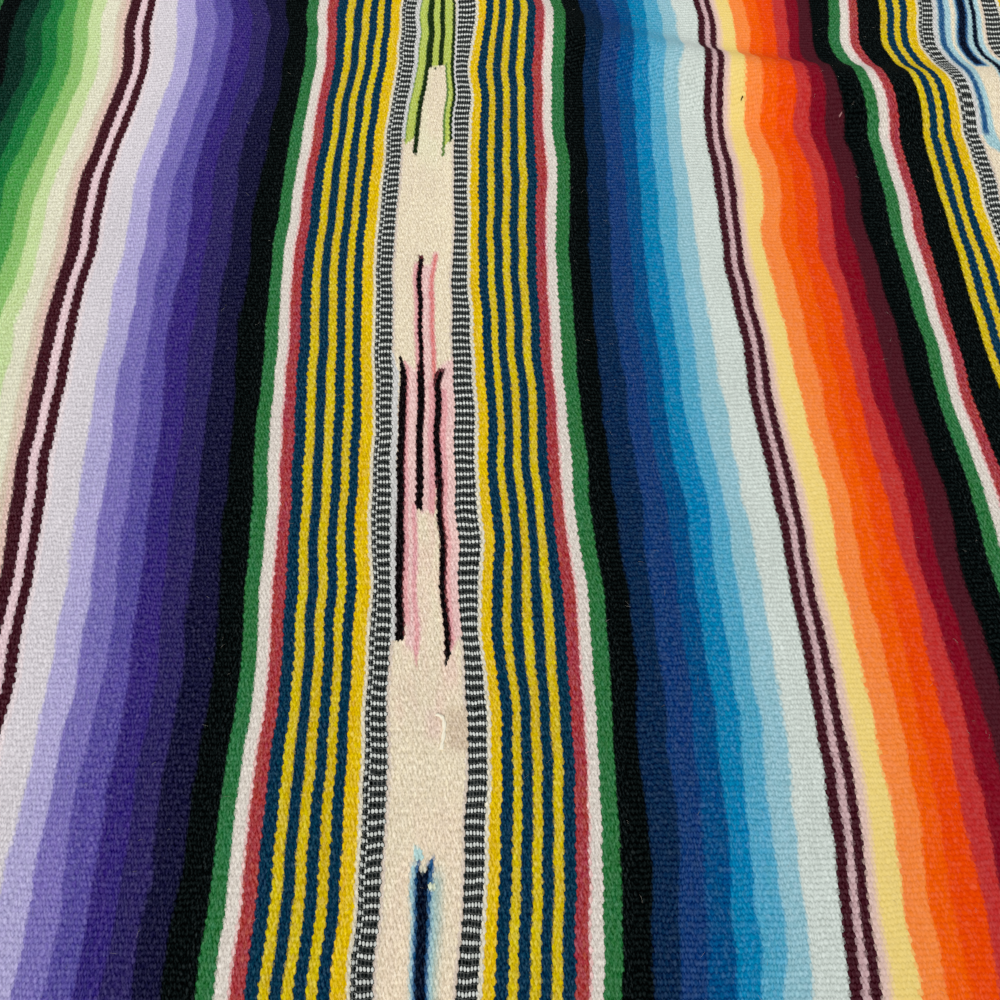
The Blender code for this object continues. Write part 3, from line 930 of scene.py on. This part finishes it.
def make_web():
    """The woven web: a closed cloth 2 mm thick with a soft round edge."""
    ends = (-WEB_LENGTH / 2, WEB_LENGTH / 2)
    region_edges = [region.start * MM for region in REGIONS if abs(region.start * MM) < ends[1]]
    lines_x = graded((*ends, *region_edges), *FINE_X)
    motif_edges = [(number + 0.5) * MOTIF_PERIOD * MM for number in range(-2, 2)]
    lines_y = graded((-WEB_WIDTH / 2, WEB_WIDTH / 2, *motif_edges), *FINE_Y)
    across, along = np.meshgrid(lines_x, lines_y)
    across, along = across.ravel(), along.ravel()
    x, y = laid(across, along)
    z = cloth_height(x, y)
    count = len(x)
    grid = np.arange(count).reshape(len(lines_y), len(lines_x))
    top = np.column_stack([x, y, z + WALL])
    bottom = np.column_stack([x, y, z])
    # The grid's outer points in their order round it.
    rim = np.concatenate([grid[0], grid[1:, -1], grid[-1, -2::-1], grid[-2:0:-1, 0]])
    outward_x = np.where(across[rim] <= lines_x[0], -1.0, np.where(across[rim] >= lines_x[-1], 1.0, 0.0))
    outward_y = np.where(along[rim] <= lines_y[0], -1.0, np.where(along[rim] >= lines_y[-1], 1.0, 0.0))
    rings = []
    for level in RIM_LEVELS:
        ring = bottom[rim] + np.column_stack([outward_x, outward_y, np.zeros(len(rim))]) * RIM_BULGE
        ring[:, 2] += WALL * level
        rings.append(ring)
    points = np.concatenate([top, bottom] + rings)
    places = np.column_stack([across, along])
    places = np.concatenate([places, places, places[rim], places[rim]])

    over = np.stack([grid[:-1, :-1], grid[:-1, 1:], grid[1:, 1:], grid[1:, :-1]], axis=-1).reshape(-1, 4)
    under = over[:, [0, 3, 2, 1]] + count
    loops = [rim, 2 * count + np.arange(len(rim)), 2 * count + len(rim) + np.arange(len(rim)), rim + count]
    sides = [
        np.column_stack([upper, lower, np.roll(lower, -1), np.roll(upper, -1)])
        for upper, lower in zip(loops, loops[1:])
    ]
    faces = np.concatenate([over, under] + sides).tolist()
    web = mesh_object("serape_web", points.tolist(), faces)
    paint_regions(web.data, places)

    flat = web.data.uv_layers.new(name="weave")
    corners = np.zeros(len(web.data.loops), np.int64)
    web.data.loops.foreach_get("vertex_index", corners)
    unit = np.column_stack([places[:, 0] / MAP_LENGTH + 0.5, places[:, 1] / MAP_WIDTH + 0.5])
    flat.uv.foreach_set("vector", unit[corners].astype(np.float32).ravel())
    return web


# --- The fringes ---

SEAM_GAP = 0.0003
HEADING_CORD = 0.003
CORD_STEPS, CORD_TWIST = 760, 0.0125
CORD_INSET, CORD_RADIUS = 0.0008, 0.00085
LOCK_LENGTH = 0.088
LOCK_LENGTH_SPREAD = 0.007
SHARED_LEAN = 0.011
OWN_LEAN = 0.0016
KNOT_PLACE = 0.12
STRAND_RADIUS = 0.00082

# A lock's section at shares of its length, in metres. It is tied close to the heading and fans out at its tip.
Section = namedtuple("Section", "share width height floor_gap")
LOCK_SECTIONS = table(
    Section,
    (0.00, 0.0084, 0.0022, 0.0006),
    (0.07, 0.0050, 0.0030, 0.0004),
    (0.12, 0.0046, 0.0030, 0.0004),
    (0.17, 0.0047, 0.0030, 0.0004),
    (0.55, 0.0046, 0.0027, 0.0008),
    (0.90, 0.0058, 0.0020, 0.0004),
    (1.00, 0.0068, 0.0017, 0.0002),
)
LOCK_STEPS = 15
LOCK_TWIST = 7.0
# How close the warps lie where a lock leaves the web, and the share of it where they have come together.
ROOT_SPREAD, GATHERED_BY = 0.72, 0.09
KNOT_TURNS, KNOT_REACH, KNOT_RADIUS = 1.6, 0.030, 0.0008
COTTON = (214, 203, 178)


def lock_centre(index):
    return (index + 0.5) * LOCK_PITCH - WEB_WIDTH / 2


def lock_length(index, side):
    return LOCK_LENGTH + LOCK_LENGTH_SPREAD * sin(2.39 * index + side) * sin(0.31 * index)


def lock_lean(index, side, share):
    """How far a lock has run sideways at a share of its length."""
    shared = SHARED_LEAN * (sin(0.083 * index + 1.7 * side) + 0.45 * sin(0.21 * index + 0.6 * side))
    own = OWN_LEAN * sin(4.3 * index + side)
    return (shared + own) * share**1.6


class Strands:
    """Gathers round strands into one mesh, mapped round each strand and along it, in tenths of a metre."""

    def __init__(self):
        self.points, self.faces, self.places = [], [], []
        self.count = 0

    def add(self, path, radii, facing=(0.0, 0.0, 1.0), sides=5, start=0.0):
        """A strand along the path. facing is a direction that the path never runs in."""
        path = np.asarray(path, float)
        radii = np.broadcast_to(np.asarray(radii, float), (len(path),))
        forward = np.gradient(path, axis=0)
        forward = forward / np.linalg.norm(forward, axis=1)[:, None]
        beside = np.cross(forward, facing)
        beside = beside / np.linalg.norm(beside, axis=1)[:, None]
        upward = np.cross(beside, forward)
        turn = 2 * pi * np.arange(sides) / sides
        round_it = np.cos(turn)[None, :, None] * beside[:, None] + np.sin(turn)[None, :, None] * upward[:, None]
        rings = path[:, None] + radii[:, None, None] * round_it
        run = start + np.concatenate([[0.0], np.cumsum(np.linalg.norm(np.diff(path, axis=0), axis=1))]) * 10
        self.points.append(rings.reshape(-1, 3))
        for step in range(len(path) - 1):
            for corner in range(sides):
                after = (corner + 1) % sides
                low = self.count + step * sides
                self.faces.append((low + corner, low + after, low + after + sides, low + corner + sides))
                left, right = corner / sides, (corner + 1) / sides
                self.places += [left, run[step], right, run[step], right, run[step + 1], left, run[step + 1]]
        for step, order in ((0, range(sides - 1, -1, -1)), (len(path) - 1, range(sides))):
            self.faces.append(tuple(self.count + step * sides + corner for corner in order))
            for corner in order:
                self.places += [corner / sides, run[step]]
        self.count += len(path) * sides

    def finished(self, name, material):
        made = mesh_object(name, np.concatenate(self.points).tolist(), self.faces, material)
        flat = made.data.uv_layers.new(name="strand")
        flat.uv.foreach_set("vector", np.array(self.places, np.float32))
        return made


def cotton_material():
    """Plied cotton: undyed warp yarn, with its twist as slanting lines of relief and of painted shade between the
    plies, soft and a little soiled.
    """
    paint = Paint("warp_cotton")
    around, along = paint.split(paint.node("ShaderNodeUVMap", uv_map="strand").outputs[0])
    along = along * 100.0
    ply = paint.math("SINE", (around * 2.0 + along * 0.42) * (2 * pi))
    soil = paint.noise(along * 0.05, around * 0.6, 2.0, 0.6)
    fibre = paint.noise(along * 1.3, around * 9.0, 1.0, 0.7)
    # Painted shade: the plies' crests are lighter and the grooves between them darker.
    value = 0.92 + ply * 0.08 + (soil - 0.5) * 0.25 + (fibre - 0.5) * 0.20
    colour = paint.tuned(linear(COTTON, YARN_GAIN), 0.5 + (soil - 0.5) * 0.02, 1.0, value)
    return paint.coat(colour, ply * 0.5 + (fibre - 0.5) * 0.5, 0.0003, 0.8)


def lock_section(share):
    """A lock's width, height and floor gap at a share of its length."""
    shares = [section.share for section in LOCK_SECTIONS]
    return [np.interp(share, shares, [section[column] for section in LOCK_SECTIONS]) for column in (1, 2, 3)]


def add_lock(strands, index, side, rng):
    """One lock: five warp ends that come out from under the heading, tied in a knot and a little twisted."""
    y0 = lock_centre(index)
    root_x, root_y = floor_plan(side * WEB_LENGTH / 2, y0)
    root_x += side * (SEAM_GAP + HEADING_CORD)
    length = lock_length(index, side) + HEADING_CORD
    radius = STRAND_RADIUS
    begin = rng.uniform(0, 2 * pi)
    twist = LOCK_TWIST * rng.uniform(0.6, 1.3)

    def centre_line(share):
        return root_x + side * length * share, root_y + lock_lean(index, side, share)

    for end in range(WARPS_IN_A_LOCK):
        reach = rng.uniform(0.93, 1.0)
        share = np.linspace(0.0, reach, LOCK_STEPS)
        width, height, gap = lock_section(share)
        x, y = centre_line(share)
        turn = begin + 2 * pi * end / WARPS_IN_A_LOCK + twist * share
        # The ends leave the web side by side, and the knot gathers them.
        gathered = np.clip(share / GATHERED_BY, 0.0, 1.0)
        rows = (end - (WARPS_IN_A_LOCK - 1) / 2) * WARP_PITCH * ROOT_SPREAD
        off_y = rows * (1 - gathered) + gathered * (width / 2 - radius) * np.cos(turn)
        off_z = gathered * np.maximum(height / 2 - radius, 0.0) * np.sin(turn)
        off_y = off_y + 0.0006 * np.sin(share * 17 + begin + end) * gathered * share
        z = np.maximum(gap + height / 2 + off_z, radius * 0.9)
        taper = radius * np.clip(1.15 - 0.35 * share, 0.0, 1.0)
        strands.add(np.column_stack([x, y + off_y, z]), taper, start=rng.uniform(0, 3))
        # The cut end frays into a few fibres.
        tip = np.array([x[-1], y[-1] + off_y[-1], z[-1]])
        for hair in range(2):
            lean = np.array([side * rng.uniform(0.003, 0.006), rng.uniform(-0.0016, 0.0016), 0.0])
            steps = np.linspace(-0.4, 1.0, 4)[:, None]
            path = tip + lean * steps
            path[:, 2] = np.maximum(path[:, 2] - 0.0004 * steps[:, 0] ** 2, 0.0003)
            strands.add(path, [0.0004, 0.0004, 0.0003, 0.00015], sides=3, start=rng.uniform(0, 3))
    # The knot: one end wound round the others about one and a half times, in a low oval.
    wind = np.linspace(0, 2 * pi * KNOT_TURNS, 15) + begin
    share = KNOT_PLACE + KNOT_REACH * np.linspace(-0.5, 0.5, len(wind))
    width, height, gap = lock_section(share)
    x, y = centre_line(share)
    off_y = (width / 2 + 0.0001) * np.cos(wind)
    z = np.maximum(gap + height / 2 + (height / 2 + 0.0001) * np.sin(wind), 0.0007)
    path = np.column_stack([x, y + off_y, z])
    strands.add(path, KNOT_RADIUS, facing=(1.0, 0.0, 0.0), start=rng.uniform(0, 3))


def make_fringe(name, side, material):
    """The heading's two twined cords, and the knotted locks of warp ends that come out from under them."""
    rng = np.random.default_rng(31 + side)
    strands = Strands()
    y0 = np.linspace(-WEB_WIDTH / 2, WEB_WIDTH / 2, CORD_STEPS)
    for cord in range(2):
        for ply in range(2):
            x, y = floor_plan(side * WEB_LENGTH / 2 + 0 * y0, y0)
            wind = 2 * pi * (y0 / CORD_TWIST + ply / 2 + cord / 4)
            swirl = HEADING_CORD / 2 - CORD_INSET
            x = x + side * (SEAM_GAP + HEADING_CORD * (cord + 0.5) + swirl * np.cos(wind))
            z = HEADING_CORD / 2 + swirl * np.sin(wind)
            strands.add(np.column_stack([x, y, z]), CORD_RADIUS, start=ply)
    for index in range(LOCKS_IN_A_FRINGE):
        add_lock(strands, index, side, rng)
    return strands.finished(name, material)


# --- What clings to the nap ---

# Loose hairs of the yarn: how many lie within these bounds of X and Y, in metres.
Shed = namedtuple("Shed", "count low high")
SHEDS = table(Shed, (450, (-0.32, -0.28), (0.42, 0.44)), (900, (-1.00, -0.62), (1.00, 0.62)))
HAIR_RADIUS = 0.000035
FLUFF_FIBRES, FLUFF_RADIUS = 7, 0.00028
# The places of a loose end of white yarn on the cream, and of specks of fluff.
LOOSE_END = (
    (0.0074, -0.1552), (0.0100, -0.1560), (0.0115, -0.1582),
    (0.0116, -0.1630), (0.0110, -0.1675), (0.0102, -0.1722),
)
END_TWIST = 2.6
PLY_REACH, PLY_RISE, PLY_RADIUS = 0.00045, 0.0003, 0.0007
DARK_SPECK = (0.2143, 0.2560)
PALE_SPECK = (0.2816, 0.2414)


def on_cloth(x, y, above):
    return np.column_stack([x, y, cloth_height(x, y) + WALL + above])


def lint_material(name, colour):
    return Paint(name).coat(linear(colour))


def add_fluff(strands, centre, length, lean, rng):
    """A speck of fluff: a few short fibres that lie together."""
    for fibre in range(FLUFF_FIBRES):
        turn = lean + rng.uniform(-0.5, 0.5)
        share = np.linspace(-0.5, 0.5, 5)
        x = centre[0] + rng.uniform(-1, 1) * length * 0.12 + share * length * cos(turn)
        y = centre[1] + rng.uniform(-1, 1) * length * 0.12 + share * length * sin(turn)
        radii = FLUFF_RADIUS * np.sqrt(np.clip(1.02 - (2 * share) ** 2, 0.02, 1.0))
        strands.add(on_cloth(x, y, 0.0002), radii, start=rng.uniform(0, 3))


def make_lint():
    """Loose hairs all over the cloth, a loose end of yarn, and two specks of fluff."""
    rng = np.random.default_rng(77)
    hairs = Strands()
    for shed in SHEDS:
        for hair in range(shed.count):
            length = rng.uniform(0.0015, 0.0050)
            turn = rng.uniform(0, 2 * pi)
            curl = rng.uniform(-0.9, 0.9)
            heading = turn + curl * np.linspace(0.0, 1.0, 4)
            x = rng.uniform(shed.low[0], shed.high[0]) + length / 4 * np.cumsum(np.cos(heading))
            y = rng.uniform(shed.low[1], shed.high[1]) + length / 4 * np.cumsum(np.sin(heading))
            above = 0.0001 + rng.uniform(0.0, 0.0004) * np.array([0.0, 0.9, 1.0, 0.2])
            hairs.add(on_cloth(x, y, above), HAIR_RADIUS, sides=3)
    yarn, pale, dark = Strands(), Strands(), Strands()
    x, y = np.array(LOOSE_END).T
    fine = np.linspace(0, len(x) - 1, 46)
    x, y = np.interp(fine, range(len(x)), x), np.interp(fine, range(len(y)), y)
    bend = np.hanning(11) / np.hanning(11).sum()
    x[5:-5], y[5:-5] = np.convolve(x, bend, "valid"), np.convolve(y, bend, "valid")
    for ply in (0.0, pi):
        turn = ply + END_TWIST * fine
        rise = PLY_RISE * (1 + np.sin(turn))
        yarn.add(on_cloth(x + PLY_REACH * np.cos(turn), y, rise), PLY_RADIUS, sides=8)
    add_fluff(pale, PALE_SPECK, 0.0027, 0.9, rng)
    add_fluff(dark, DARK_SPECK, 0.0025, 1.1, rng)
    return [
        hairs.finished("loose_hairs", lint_material("hair_lint", (188, 182, 170))),
        yarn.finished("loose_end", lint_material("white_yarn", (246, 237, 215))),
        pale.finished("pale_speck", lint_material("pale_lint", (164, 118, 118))),
        dark.finished("dark_speck", lint_material("dark_lint", (70, 52, 22))),
    ]


# --- Floor, light and camera ---

FLOOR_REACH = 6.0
FLOOR_GAP = 0.0005


def make_floor():
    paint = Paint("pale_floor", roughness=0.7)
    x, y = paint.split(paint.node("ShaderNodeNewGeometry").outputs[0])
    mottle = paint.noise(x * 9.0, y * 9.0, 3.0, 0.6)
    paint.coat(paint.ramp(mottle, ((0.3, 0.72), (0.7, 0.745))))
    corners = [(FLOOR_REACH * x, FLOOR_REACH * y, 0) for x, y in ((-1, -1), (1, -1), (1, 1), (-1, 1))]
    ground = mesh_object("floor", corners, [(0, 1, 2, 3)], paint.material, smooth=False)
    ground.location.z = -FLOOR_GAP


def add_lamp(name, kind, direction, **settings):
    lamp = bpy.data.lights.new(name, kind)
    for setting, value in settings.items():
        setattr(lamp, setting, value)
    stand = bpy.data.objects.new(name, lamp)
    stand.rotation_mode = "QUATERNION"
    stand.rotation_quaternion = Vector(direction).to_track_quat("-Z", "Y")
    bpy.context.scene.collection.objects.link(stand)
    return stand


def make_light():
    world = bpy.data.worlds.new("room")
    world.use_nodes = True
    background = world.node_tree.nodes["Background"]
    background.inputs["Color"].default_value = (0.92, 0.96, 1.0, 1.0)
    background.inputs["Strength"].default_value = 0.55
    bpy.context.scene.world = world
    add_lamp("window", "SUN", (0.25, 0.62, -0.74), energy=1.68, angle=radians(28), color=(1.0, 0.98, 0.94))
    panel = add_lamp("panel", "AREA", (0.0, -0.74, -1.00), energy=3.6, size=0.9)
    panel.location = (0.10, 1.10, 1.00)


CAMERA_PLACE = (0.0392, -0.193, 0.397)
CAMERA_DROP = 68.66
CAMERA_YAW = -0.847
SENSOR = 36.0
PIXELS = 1000
FOCAL_PIXELS = 751.0


def make_camera():
    lens = bpy.data.cameras.new("camera")
    lens.sensor_width = SENSOR
    lens.lens = FOCAL_PIXELS * SENSOR / PIXELS
    lens.clip_start = 0.01
    camera = bpy.data.objects.new("camera", lens)
    camera.location = CAMERA_PLACE
    camera.rotation_euler = (radians(90 - CAMERA_DROP), 0.0, radians(CAMERA_YAW))
    bpy.context.scene.collection.objects.link(camera)
    bpy.context.scene.camera = camera


def main():
    bpy.context.scene.view_settings.view_transform = "Standard"
    make_camera()
    make_light()
    make_floor()
    web = make_web()
    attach(web, "root")
    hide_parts("woven_web")
    cotton = cotton_material()
    for side, node in ((-1, "fringe_left"), (1, "fringe_right")):
        fringe = make_fringe(node + "_strands", side, cotton)
        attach(fringe, "root")
        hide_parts(node)
    for lint in make_lint():
        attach(lint, "root")


main()
